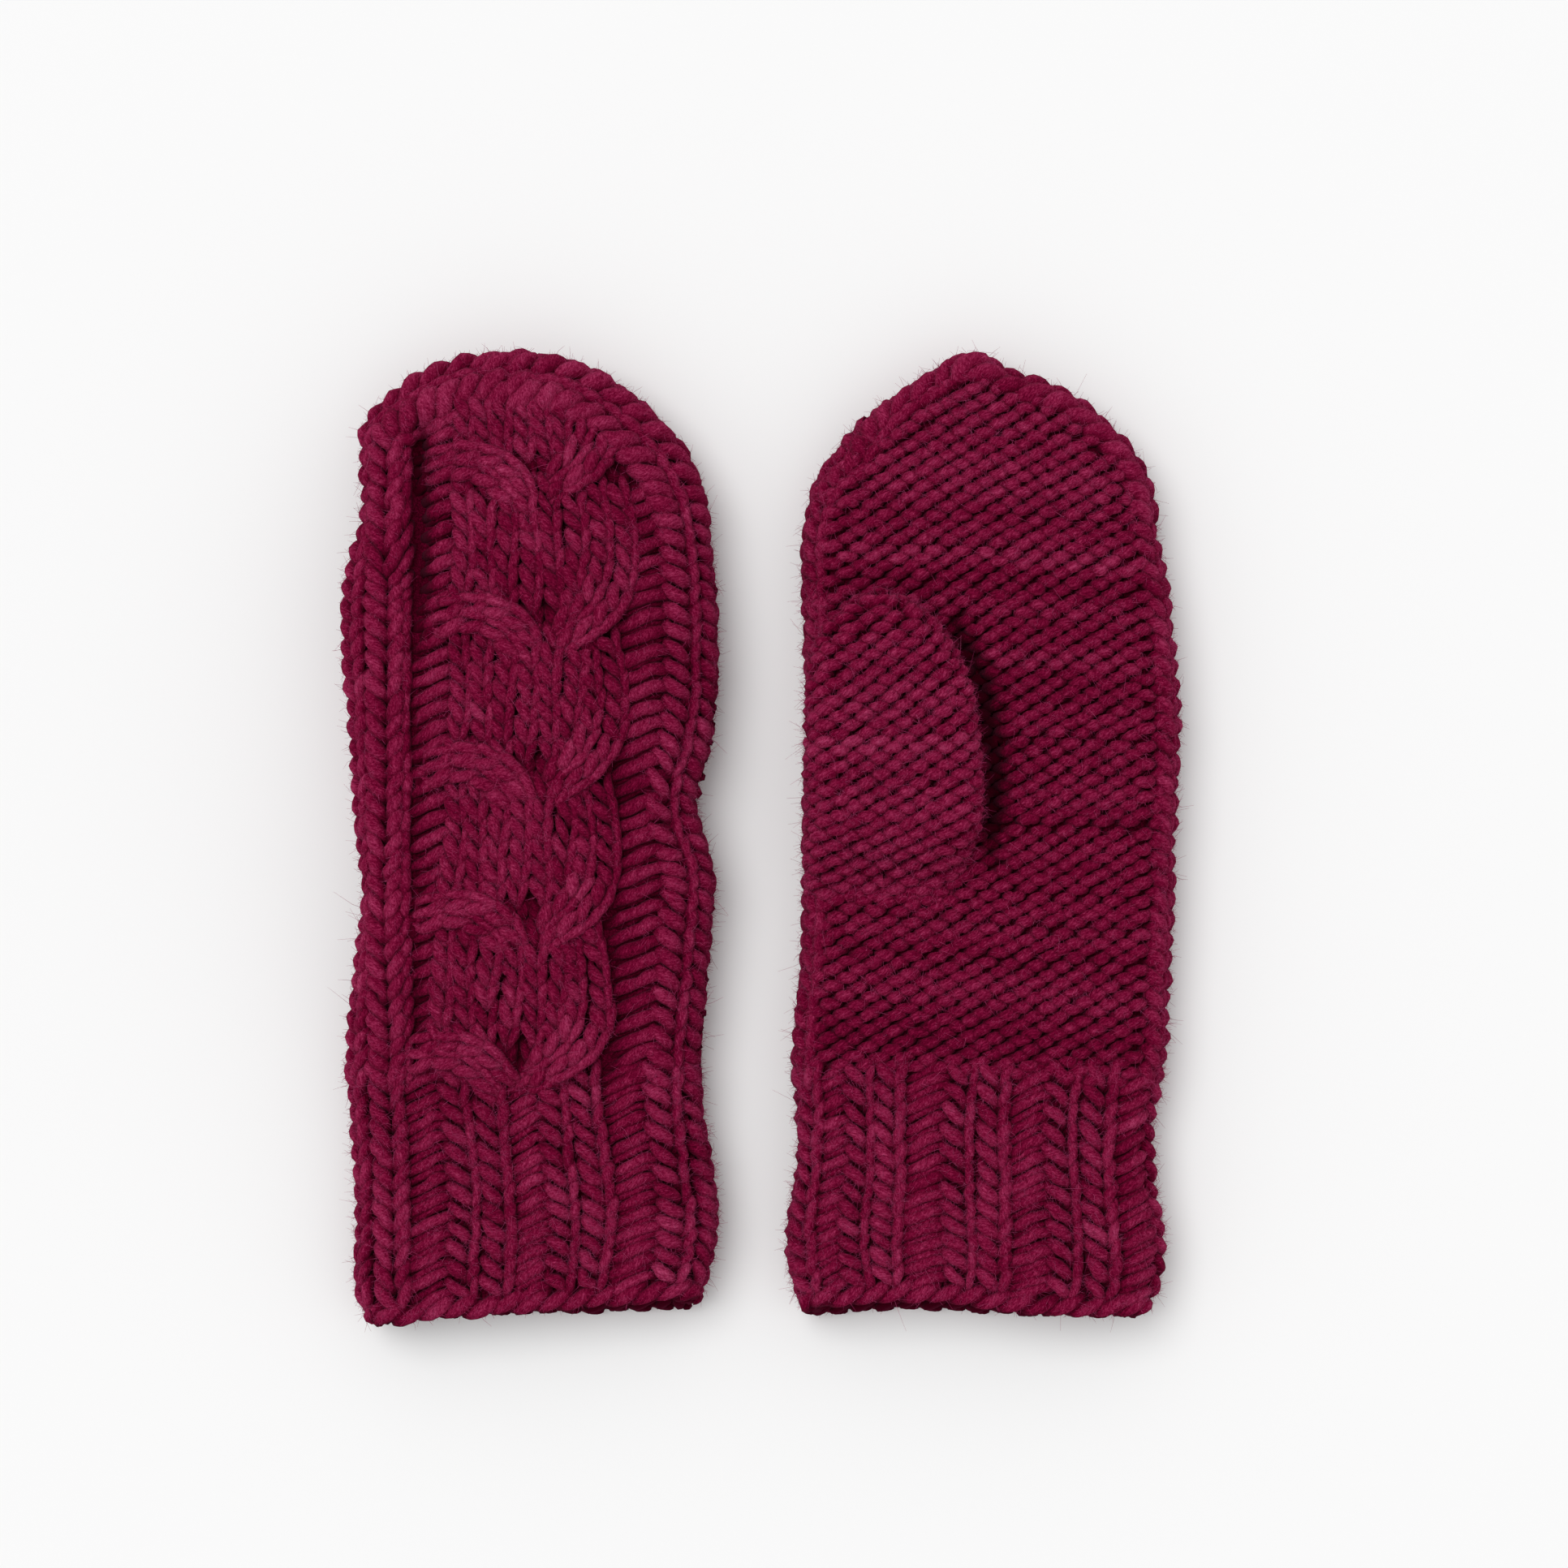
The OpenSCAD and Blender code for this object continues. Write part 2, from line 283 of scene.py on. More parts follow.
class Mitten(Soft):
    """The hand of a mitten. palm is +1 with the palm up and -1 with the palm down."""

    def __init__(self, name, centre_x, outline, palm):
        self.name = name
        self.palm = palm
        # the left mitten's back is the right one's, mirrored
        self.mirror = 1 if name == "right" else -1
        super().__init__(centre_x, outline)
        # the inner knit column of the thumb side's band, which runs straight although the edge waves
        self.band_u = float(np.median(self.line[:np.argmax(self.line[:, 1]), 0])) + 6.2

    def middle(self, u, v):
        """Height of the middle of the mitten above the table."""
        if self.palm > 0:
            return 13.9 + 0.5 * np.sin(v / 31 + u / 23)
        # the thumb under the hand lifts it, and most at the thumb's side
        lift = smoothstep((v - 60) / 60) * (1 - 0.55 * smoothstep((v - 215) / 55))
        tilt = 0.96 - 0.84 * smoothstep((u + 2) / 58)
        return 12.6 + 13.6 * lift * np.clip(tilt, 0, 1) + 0.4 * np.sin(v / 27 + u / 19)

    def half(self, u, v):
        """Half the thickness of the mitten, middle of fabric to middle of fabric."""
        wave = 0.35 * np.sin(v / 13 + 1.0 + u / 40) + 0.3 * np.sin(v / 21 - u / 17)
        crown = smoothstep((v - 225) / 55)
        return 8.4 + wave - 1.6 * crown

    def crease(self, u, v, side):
        """Depth of the crease in the palm beside the thumb, or of the fold in the back."""
        edge = np.interp(v, (140, 163, 186, 202), (0.0, 1.2, -2.4, -10.0))
        along = smoothstep((v - 128) / 20) * (1 - smoothstep((v - 196) / 14))
        palm = CREASE * along * np.exp(-((u - edge) / 4.0)**2)
        along = smoothstep((v - 202) / 14) * (1 - smoothstep((v - 256) / 10))
        back = FOLD * along * np.exp(-((u - self.band_u - 10.2) / 2.6)**2)
        return np.where(side == self.palm, palm, back)


class Thumb(Soft):
    """The thumb lying on the palm. Its base sinks into the palm."""

    INSET = 2.6
    EDGE = 7.5
    OPEN = 60.0

    def __init__(self, hand):
        self.hand = hand
        self.name = hand.name
        outline = np.array(THUMB_OUTLINE)
        outline[:, 0] += THUMB_TUCK[hand.name] * np.clip(-outline[:, 0] / 54.2, 0, 1)
        super().__init__(hand.cx, outline)

    def half(self, u, v):
        """Half the thickness of the thumb."""
        return 4.7 - 0.5 * smoothstep((v - 190) / 20) + 0.15 * np.sin(v / 9 + u / 11)

    def middle(self, u, v):
        """Height of the middle of the thumb, which climbs out of the palm at its base."""
        hand = self.hand
        palm = hand.middle(u, v) + hand.palm * hand.half(u, v)
        rise = smoothstep((v - 122) / 26)
        return palm + hand.palm * (-4.9 + (4.9 + 9.3) * rise)


# ---- yarn

def make_piece(name, verts, faces, fibre, tone, material):
    """A smooth mesh from points in millimetres. fibre and tone are what its material reads; tone holds the
    yarn's random tone together with painted shade and painted light.
    """
    mesh = bpy.data.meshes.new(name)
    mesh.from_pydata((verts * MM).tolist(), [], faces)
    mesh.polygons.foreach_set("use_smooth", np.ones(len(mesh.polygons), bool))
    where = mesh.attributes.new("fibre", "FLOAT_VECTOR", "POINT")
    where.data.foreach_set("vector", fibre.astype(np.float32).ravel())
    value = mesh.attributes.new("tone", "FLOAT", "POINT")
    value.data.foreach_set("value", tone.astype(np.float32))
    mesh.materials.append(material)
    mesh.update()
    obj = bpy.data.objects.new(name, mesh)
    bpy.context.scene.collection.objects.link(obj)
    return obj


class Yarn:
    """Collects tubes of yarn and makes one mesh of them."""

    # Turn of the fibres round the yarn in radians per millimetre, and how lumpy it is.
    TWIST = 0.42
    LUMPS = 0.035

    def __init__(self):
        self.verts, self.faces, self.fibre, self.tone, self.out = [], [], [], [], []
        self.count = 0

    def add(self, path, normal, radius, tone, sides=SIDES):
        """path and normal are (batch, n, 3) in millimetres, radius is (batch, n), tone is (batch, n) and
        holds random tone with painted shade and light.
        """
        b, n = radius.shape
        tangent = np.gradient(path, axis=1)
        length = np.linalg.norm(tangent, axis=2, keepdims=True)
        tangent = tangent / np.maximum(length, 1e-9)
        across = np.cross(tangent, normal)
        across /= np.maximum(np.linalg.norm(across, axis=2, keepdims=True), 1e-9)
        outward = np.cross(across, tangent)
        along = np.cumsum(length[..., 0], 1)
        twist = along * self.TWIST
        start = rng.uniform(0, 6.28, (b, 1))
        angle = np.arange(sides) * 2 * math.pi / sides
        ring = np.cos(angle)[:, None] * outward[:, :, None] + np.sin(angle)[:, None] * across[:, :, None]
        lumps = 1 + rng.normal(0, self.LUMPS, (b, n, sides, 1))
        verts = path[:, :, None] + ring * radius[:, :, None, None] * lumps
        verts[..., 2] = press(verts[..., 2])
        turn = angle + twist[:, :, None] + start[:, :, None]
        ids = rng.uniform(0, 400, (b, 1, 1))
        fibre = np.stack([np.cos(turn) * radius[:, :, None], np.sin(turn) * radius[:, :, None],
                          np.broadcast_to(along[:, :, None] + ids, turn.shape)], -1)
        # the flanks of the yarn lie in each other's shade
        tones = tone[:, :, None] * (0.82 + 0.22 * np.cos(angle))
        base = self.count + np.arange(b)[:, None, None] * n * sides
        i = np.arange(n - 1)[:, None] * sides
        k = np.arange(sides)
        k2 = (k + 1) % sides
        quads = np.stack([base + i + k, base + i + k2, base + i + sides + k2, base + i + sides + k], -1)
        self.faces.extend(quads.reshape(-1, 4).tolist())
        for end in (0, n - 1):
            cap = base[:, 0] + end * sides + k
            self.faces.extend((cap[:, ::-1] if end == 0 else cap).tolist())
        self.verts.append(verts.reshape(-1, 3))
        self.fibre.append(fibre.reshape(-1, 3))
        self.tone.append(tones.reshape(-1))
        self.out.append(ring.reshape(-1, 3))
        self.count += b * n * sides

    def make(self, name, material, slot="wool"):
        verts, fibre, tone = (np.concatenate(a) for a in (self.verts, self.fibre, self.tone))
        return make_piece(name, verts, self.faces, fibre, tone, material)


# One knit loop: across and along in stitch widths and rows, height and yarn radius in millimetres.
KNIT_LOOP = np.array([
    (-0.02, -0.9, -1.9, 1.2), (0.12, -0.52, -0.5, 1.55), (0.04, -0.24, 0.9, 2.05), (-0.16, 0.05, 1.5, 2.3),
    (-0.35, 0.32, 0.8, 2.05), (-0.43, 0.6, -0.7, 1.5), (-0.14, 0.96, -2.0, 1.2), (0.2, 0.98, -2.0, 1.2),
    (0.35, 0.72, -0.5, 1.35), (0.38, 0.38, 0.8, 1.62), (0.35, 0.0, 1.1, 1.7), (0.31, -0.38, 0.6, 1.58),
    (0.27, -0.7, -0.5, 1.32), (0.13, -0.98, -1.8, 1.15)])
# A loop whose two legs slant alike, as on the side bands.
VEE_LOOP = np.array([
    (-0.03, -0.96, -1.9, 1.3), (-0.07, -0.66, -0.4, 1.7), (-0.12, -0.34, 0.9, 2.1), (-0.24, 0.06, 1.4, 2.3),
    (-0.37, 0.42, 0.8, 2.05), (-0.38, 0.76, -0.7, 1.6), (-0.1, 1.0, -2.0, 1.35), (0.16, 0.98, -2.0, 1.35),
    (0.38, 0.76, -0.7, 1.6), (0.38, 0.42, 0.7, 2.0), (0.29, 0.06, 1.2, 2.2), (0.18, -0.34, 0.8, 2.05),
    (0.11, -0.66, -0.4, 1.65), (0.05, -0.96, -1.8, 1.3)])
# The big loops over the fingertips: one fat leg lies along the edge and hides the other.
CROWN_LOOP = np.array([
    (0.16, -0.92, -1.9, 1.4), (0.14, -0.62, -0.3, 1.95), (0.05, -0.28, 1.1, 2.45), (-0.14, 0.1, 1.6, 2.7),
    (-0.31, 0.44, 1.0, 2.4), (-0.38, 0.76, -0.5, 1.75), (-0.12, 1.0, -2.0, 1.4), (0.18, 0.98, -2.0, 1.35),
    (0.34, 0.74, -0.7, 1.6), (0.38, 0.4, 0.2, 1.85), (0.38, 0.04, 0.4, 1.95), (0.34, -0.36, 0.1, 1.85),
    (0.28, -0.68, -0.7, 1.6), (0.2, -0.98, -1.8, 1.3)])
# One purl stitch of a row: the bump between two loops, then the head of a loop, both slanting up.
PURL_STITCH = np.array([
    (-0.44, -0.41, -1.3, 1.1), (-0.32, -0.37, -0.2, 1.45), (-0.17, -0.3, 0.9, 1.85),
    (0.03, -0.22, 1.2, 2.0), (0.21, -0.15, 0.8, 1.8), (0.34, -0.12, -0.4, 1.35), (0.28, 0.03, -1.7, 1.1),
    (0.06, 0.07, -1.4, 1.1), (0.18, 0.12, -0.2, 1.45), (0.33, 0.19, 0.9, 1.85), (0.53, 0.27, 1.2, 2.0),
    (0.71, 0.34, 0.8, 1.8), (0.84, 0.38, -0.4, 1.35), (0.78, 0.1, -1.9, 1.1)])
# A knit loop pulled tight along its column, as in the arms of the cable.
LONG_LOOP = np.array([
    (-0.06, -0.98, -1.6, 1.3), (-0.16, -0.66, -0.2, 1.7), (-0.24, -0.32, 0.9, 2.05),
    (-0.28, 0.06, 1.3, 2.15), (-0.29, 0.42, 0.9, 2.05), (-0.27, 0.76, -0.2, 1.6), (-0.1, 1.0, -1.8, 1.35),
    (0.1, 0.96, -1.8, 1.35), (0.25, 0.72, -0.2, 1.65), (0.28, 0.38, 0.8, 1.95), (0.28, 0.0, 1.1, 2.0),
    (0.26, -0.38, 0.8, 1.9), (0.2, -0.7, -0.2, 1.6), (0.08, -0.98, -1.7, 1.3)])


def lay_yarn(yarn, chart, points, steps, tone, sides=SIDES, dim=None):
    """Tubes of yarn through points on a chart, which are (batch, n, 4): X, Y, height and radius.

    dim(x, y) is painted shade that darkens the yarn in creases. Yarn that lies lower in the knitting is
    painted darker too, as painted shade between the loops.
    """
    path = curve_through(points, steps)
    pos, normal = chart(path[..., 0], path[..., 1], path[..., 2])
    # painted shade: the lower the yarn lies, the darker it is painted
    depth = np.clip((path[..., 2] + 1.0) / 2.4, 0, 1)
    shade = 0.55 + 0.45 * depth
    shade = shade * (tone if np.ndim(tone) == 0 else tone[:, None])
    if dim is not None:
        shade = shade * dim(path[..., 0], path[..., 1])
    yarn.add(pos, normal, np.maximum(path[..., 3], 0.3), shade, sides)


# How much the points of a stitch vary: across, along, in height and in thickness.
KNIT_SPREAD = (0.026, 0.035, 0.14, 0.05)
PURL_SPREAD = (0.03, 0.04, 0.16, 0.06)


def varied(stitches, spread):
    """Stitches (batch, points, 4), each a little different."""
    size = stitches.shape[:2]
    for i in range(3):
        stitches[..., i] += rng.normal(0, spread[i], size)
    stitches[..., 3] *= 1 + rng.normal(0, spread[3], size)
    return stitches


def knit_column(yarn, chart, xs, ys, widths, lift, other, share, fat, tone=1.0):
    """A column of knit loops through the centres (xs, ys), as wide as widths.

    share is how far a loop takes the other loop's shape, from 0 to 1.
    """
    n = len(xs)
    along = np.stack([np.gradient(xs), np.gradient(ys)], 1)
    spacing = np.linalg.norm(along, axis=1)
    along /= spacing[:, None]
    across = np.stack([along[:, 1], -along[:, 0]], 1)
    share = np.broadcast_to(share, n)[:, None, None]
    loop = varied(KNIT_LOOP[None] * (1 - share) + other[None] * share, KNIT_SPREAD)
    loop[..., 2] += np.broadcast_to(lift, n)[:, None]
    loop[..., 3] *= fat * (1 + rng.normal(0, 0.07, (n, 1)))
    c = loop[..., 0] * widths[:, None]
    s = loop[..., 1] * spacing[:, None]
    for i, start in enumerate((xs, ys)):
        loop[..., i] = start[:, None] + across[:, i, None] * c + along[:, i, None] * s
    lay_yarn(yarn, chart, loop, 2, tone + rng.normal(0, 0.05, n))


def purl_row(yarn, chart, borders, y_of, lift, ends, dim=None, tone=1.0):
    """One row of purl stitches between the X borders. y_of gives the row's Y at each X.

    The row's two ends sink by ends.
    """
    n = len(borders) - 1
    stitch = varied(np.repeat(PURL_STITCH[None], n, 0), PURL_SPREAD)
    x = borders[:-1, None] + stitch[..., 0] * np.diff(borders)[:, None]
    y = y_of(x) + stitch[..., 1] * PURL_PITCH
    points = np.stack([x, y, stitch[..., 2] + lift, stitch[..., 3]], -1).reshape(1, -1, 4)
    points[0, :3, 2] -= ends
    points[0, -3:, 2] -= ends
    lay_yarn(yarn, chart, points, 2, tone + rng.normal(0, 0.04), sides=6, dim=dim)


# A strand across a gutter: across in gutter widths, up in its own rise, height and radius in millimetres.
LADDER_STRAND = np.array([
    (-0.18, -0.66, -1.6, 0.9), (0.02, -0.48, -0.3, 1.15), (0.24, -0.26, 0.7, 1.45), (0.48, 0.0, 1.1, 1.55),
    (0.72, 0.22, 1.0, 1.55), (0.95, 0.3, 0.2, 1.35), (1.14, 0.16, -1.5, 1.0)])
# Thickness, distance up in rows and drop of the two strands in a row, in the cuff and on the hand.
CUFF_STRANDS = ((1.20, 0.0, 0.0), (0.86, 0.5, 0.5))
HAND_STRANDS = ((1.40, 0.0, 0.0), (0.74, 0.5, 1.3))
# The most that a strand rises.
LADDER_RISE = 6.6


def ladder(yarn, chart, x0, x1, vs, pitch, strands, slope, lift, dim=None):
    """The strands across a purl gutter between x0 and x1, two to each row."""
    n = len(vs)
    x0, x1 = (np.broadcast_to(a, n) for a in (x0, x1))
    wide = x1 - x0
    rise = np.minimum(slope * wide, LADDER_RISE)
    for thick, extra, drop in strands:
        points = np.repeat(LADDER_STRAND[None], n, 0)
        size = points.shape[:2]
        points[..., 0] += rng.normal(0, 0.025, size)
        points[..., 1] += rng.normal(0, 0.025, size)
        points[..., 0] = x0[:, None] + points[..., 0] * wide[:, None]
        points[..., 1] = (vs[:, None] + extra * pitch + points[..., 1] * rise[:, None]
                          + rng.normal(0, 0.25, (n, 1)))
        points[..., 1] = np.maximum(points[..., 1], Soft.START)
        points[..., 2] += lift - drop + rng.normal(0, 0.18, (n, 1))
        points[..., 3] *= thick * (1 + rng.normal(0, 0.07, size))
        lay_yarn(yarn, chart, points, 3, 1 + rng.normal(0, 0.04, n), dim=dim)


# ---- materials

def new_material(name):
    mat = bpy.data.materials.new(name)
    mat.use_nodes = True
    return mat, mat.node_tree.nodes, mat.node_tree.links


def set_inputs(node, **values):
    """Set a node's inputs by their names, with _ for a space."""
    for name, value in values.items():
        node.inputs[name.replace("_", " ")].default_value = value


def noise(nodes, links, vector, scale, detail, rough):
    node = nodes.new("ShaderNodeTexNoise")
    set_inputs(node, Scale=scale, Detail=detail, Roughness=rough)
    links.new(vector, node.inputs["Vector"])
    return node.outputs["Fac"]


def cover(nodes, links, ramp, height, strength, distance):
    """Give the surface the ramp's colour and a bump from a height."""
    bsdf = nodes["Principled BSDF"]
    links.new(ramp.outputs["Color"], bsdf.inputs["Base Color"])
    bump = nodes.new("ShaderNodeBump")
    set_inputs(bump, Strength=strength, Distance=distance)
    links.new(height, bump.inputs["Height"])
    links.new(bump.outputs["Normal"], bsdf.inputs["Normal"])
    return bsdf


# How much the yarn's tone (random tone with painted shade and light), its clumps and its fine streaks add to
# its shade, and the shade without them.
TONE_SHARE = 1.30
CLUMP_SHARE = 0.45
STREAK_SHARE = 2.15
SHADE_START = -2.09
# Where the four colours of wool stand between the darkest and the lightest shade.
SHADE_PLACES = (0.0, 0.42, 0.74, 1.0)


def wool_material(name, colours):
    """Loosely spun wool: fine streaks along the fibres, with painted shade between the loops and painted
    light on their tops, both taken from tone.

    colours are four, from dark to light.
    """
    mat, nodes, links = new_material(name)
    fibre = nodes.new("ShaderNodeAttribute")
    fibre.attribute_name = "fibre"
    tone = nodes.new("ShaderNodeAttribute")
    tone.attribute_name = "tone"

    def streaks(along, around, detail, rough):
        stretch = nodes.new("ShaderNodeMapping")
        set_inputs(stretch, Scale=(around, around, along))
        links.new(fibre.outputs["Vector"], stretch.inputs["Vector"])
        return noise(nodes, links, stretch.outputs["Vector"], 1.0, detail, rough)

    def scale_add(value, factor, added):
        node = nodes.new("ShaderNodeMath")
        node.operation = "MULTIPLY_ADD"
        links.new(value, node.inputs[0])
        node.inputs[1].default_value = factor
        if isinstance(added, float):
            node.inputs[2].default_value = added
        else:
            links.new(added, node.inputs[2])
        return node.outputs[0]

    fine = streaks(1.25, 1.9, 5.0, 0.80)
    clumps = streaks(0.22, 0.6, 2.0, 0.5)
    shade = scale_add(tone.outputs["Fac"], TONE_SHARE, SHADE_START)
    shade = scale_add(clumps, CLUMP_SHARE, shade)
    shade = scale_add(fine, STREAK_SHARE, shade)
    ramp = nodes.new("ShaderNodeValToRGB")
    steps = ramp.color_ramp.elements
    for place, colour in zip(SHADE_PLACES[1:3], colours[1:3]):
        steps.new(place).color = colour + (1,)
    steps[0].color = colours[0] + (1,)
    steps[-1].color = colours[3] + (1,)
    links.new(shade, ramp.inputs["Fac"])
    bsdf = cover(nodes, links, ramp, fine, 0.6, 0.0004)
    set_inputs(bsdf, Roughness=0.95, Specular_IOR_Level=0.0, Sheen_Weight=0.06, Sheen_Roughness=0.5,
               Sheen_Tint=(0.95, 0.30, 0.50, 1))
    return mat


# The wool's colours from dark to light: painted shade picks the dark end in the hollows and painted light the
# lighter, pinker end on the tops. The fuzz is paler, partly for its own paler fibres and partly as painted
# light shining through the thin fibres.
RASPBERRY = ((0.048, 0.0002, 0.007), (0.155, 0.0020, 0.026), (0.285, 0.019, 0.072), (0.42, 0.055, 0.140))
PALE_RASPBERRY = ((0.26, 0.015, 0.070), (0.40, 0.045, 0.140), (0.56, 0.110, 0.250), (0.70, 0.200, 0.360))
WOOL = wool_material("raspberry_wool", RASPBERRY)
FUZZ = wool_material("wool_fuzz", PALE_RASPBERRY)


def fleece_material(name, colour):
    """Matt fabric with a fine grain, darker and lighter than its colour."""
    mat, nodes, links = new_material(name)
    where = nodes.new("ShaderNodeTexCoord")
    grain = noise(nodes, links, where.outputs["Object"], 900.0, 4.0, 0.5)
    ramp = nodes.new("ShaderNodeValToRGB")
    for step, strength in zip(ramp.color_ramp.elements, (0.4, 1.7)):
        step.color = tuple(c * strength for c in colour) + (1,)
    links.new(grain, ramp.inputs["Fac"])
    bsdf = cover(nodes, links, ramp, grain, 0.8, 0.0008)
    set_inputs(bsdf, Roughness=0.97, Specular_IOR_Level=0.1, Sheen_Weight=0.04)
    return mat


FLEECE = fleece_material("charcoal_fleece", (0.022, 0.022, 0.026))
THREAD = fleece_material("charcoal_thread", (0.03, 0.028, 0.03))


# ---- regions of knitting

CUFF_TOP = 72.0
CUFF_MIDDLE = 45.0
CUFF_ROWS = 11
# Height of the twisted edge of the hem, and the width of one of its stitches.
HEM_HEIGHT = 7.0
HEM_STITCH_WIDTH = 6.9
# Knit columns of each cuff: (centre u, width, how far the legs slant alike), upper face, then lower face.
CUFF_BACK = [(-33.5, 10.0, 0), (-23.5, 10.0, 0.4), (-4.8, 10.2, 0), (5.4, 10.2, 0.4), (24.5, 10.0, 0),
             (34.5, 10.0, 0.4)]
CUFF_COLUMNS = {
    "right": ([(-48.6, 9.0, 0.9), (-40.6, 9.6, 0.9), (-20.2, 9.6, 0), (-10.2, 10.0, 0.35), (8.4, 9.6, 0),
               (18.4, 10.0, 0.35), (40.2, 10.2, 0), (48.6, 9.4, 0.3)], CUFF_BACK),
    "left": ([(-51.5, 8.6, 0.3), (-38.2, 9.0, 0), (-29.3, 9.0, 0.35), (-9.4, 9.8, 0), (0.6, 10.0, 0.35),
              (20.3, 10.2, 0), (30.8, 10.2, 0.35), (46.5, 9.0, 0.3)], [(-47.0, 8.6, 0)] + CUFF_BACK),
}


def cuff(m):
    """Knit columns right round the wrist, with purl gutters between their pairs."""
    knit, purl = Yarn(), Yarn()
    total = float(m.girth(CUFF_MIDDLE)[4])
    belt = m.belt(total)
    columns = []
    for side, group in zip((1, -1), CUFF_COLUMNS[m.name]):
        columns += [(m.ring_x(u, side, CUFF_MIDDLE) * total, w, vee) for u, w, vee in group]
    columns.sort()
    pitch = (CUFF_TOP - HEM_HEIGHT) / CUFF_ROWS
    vs = HEM_HEIGHT + 0.5 + pitch * np.arange(CUFF_ROWS + 1)
    for x, w, vee in columns:
        sway = 0.35 * np.sin(vs / 9 + x)
        knit_column(knit, belt, x + sway, vs, np.full(len(vs), w), 0.6, VEE_LOOP, vee, 0.95)
    first = columns[0]
    for (x0, w0, _), (x1, w1, _) in zip(columns, columns[1:] + [(first[0] + total, first[1], first[2])]):
        low, high = x0 + w0 / 2 - 0.6, x1 - w1 / 2 + 1.0
        if high - low > 4.5:
            ladder(purl, belt, low, high, vs - 0.4 * pitch, pitch, CUFF_STRANDS, slope=0.62, lift=0.35)
    return knit, purl


# A stitch of the hem's edge: across in its own widths, up, height and radius in millimetres.
HEM_STITCH = np.array([
    (-0.85, 0.2, -1.8, 1.3), (-0.52, 0.3, 0.4, 1.8), (-0.1, 1.5, 1.5, 2.15), (0.32, 3.3, 1.3, 2.1),
    (0.62, 4.7, 0.0, 1.7), (0.75, 5.4, -1.6, 1.3)])


def hem(m):
    """The twisted edge: slanting stitches over a core, and a second strand along the inside of the rim."""
    yarn = Yarn()
    total = float(m.girth(4.0)[4])
    belt = m.belt(total)
    n = int(round(total / HEM_STITCH_WIDTH))
    width = total / n
    x = (np.arange(n) + 0.5) * width
    points = np.repeat(HEM_STITCH[None], n, 0)
    points[..., 0] = x[:, None] + points[..., 0] * width + rng.normal(0, 0.15, (n, 1))
    points[..., 1] += rng.normal(0, 0.25, (n, 1))
    points[..., 3] *= 1 + rng.normal(0, 0.05, (n, 1))
    lay_yarn(yarn, belt, points, 4, 1 + rng.normal(0, 0.05, n))
    along = np.linspace(0, 1, 121)
    core = np.stack([along * total, 1.7 + 0 * along, 0.2 + 0 * along, 2.2 + 0 * along], -1)
    # painted shade: the core and the strand inside the rim are painted darker than the slanting stitches
    lay_yarn(yarn, belt, core[None], 2, 0.9)
    inner = points.copy()
    inner[..., 1] = 5.4 - inner[..., 1]
    inner[..., 2] = -inner[..., 2] * 0.8 - 2.2
    lay_yarn(yarn, belt, inner, 3, 0.8 + rng.normal(0, 0.05, n))
    return yarn


# First row of the palm, and the usual width of a stitch of the palm and of the thumb.
PALM_START = CUFF_TOP + 2.0
PALM_STITCH_WIDTH = 7.3
THUMB_STITCH_WIDTH = 7.7
# The thumb's first row lies on this row of the palm.
THUMB_FIRST_ROW = 10


def palm_field(m):
    """Purl rows of the palm, clipped inside the edge columns."""
    side = m.palm
    yarn = Yarn()
    chart = m.face(side)

    # painted shade, darker in the crease beside the thumb
    def dim(x, y):
        return 1 - 0.62 * m.crease(side * x, y, side) / CREASE

    for v in np.arange(PALM_START, 279, PURL_PITCH):
        left, right = m.edges(v)
        low, high = (left, right) if side > 0 else (-right, -left)
        # the stitches of neighbouring rows line up along the middle of the palm, which stays put at the top
        mid = (low + high) / 2 if v < 215 else (np.add(*m.edges(215.0)) / 2) * side
        fine = np.arange(low - 2, high + 2, 0.25)
        inside = fine[m.sample(m.e, side * fine, np.full(len(fine), v + 0.5)) > 0]
        if len(inside) < 30:
            continue
        grid = mid + PALM_STITCH_WIDTH * (np.arange(-9, 10) + 0.5)
        least = 0.4 * PALM_STITCH_WIDTH
        grid = grid[(grid > inside[0] + least) & (grid < inside[-1] - least)]
        borders = np.concatenate([inside[:1], grid, inside[-1:]])
        wave = rng.normal(0, 0.25)

        def y_of(x):
            return v + wave + PURL_FALL * side * x + 0.5 * np.sin(x / 17 + v / 29)

        # the photo's palm is lighter towards the fingertips
        # painted light and shade: rows are painted darker over the middle of the palm and lighter towards the
        # fingertips
        tone = 0.96 + 0.10 * smoothstep((v - 195) / 50)
        purl_row(yarn, chart, borders, y_of, 0.25 + rng.normal(0, 0.1), 0.8, dim, tone)
    return yarn


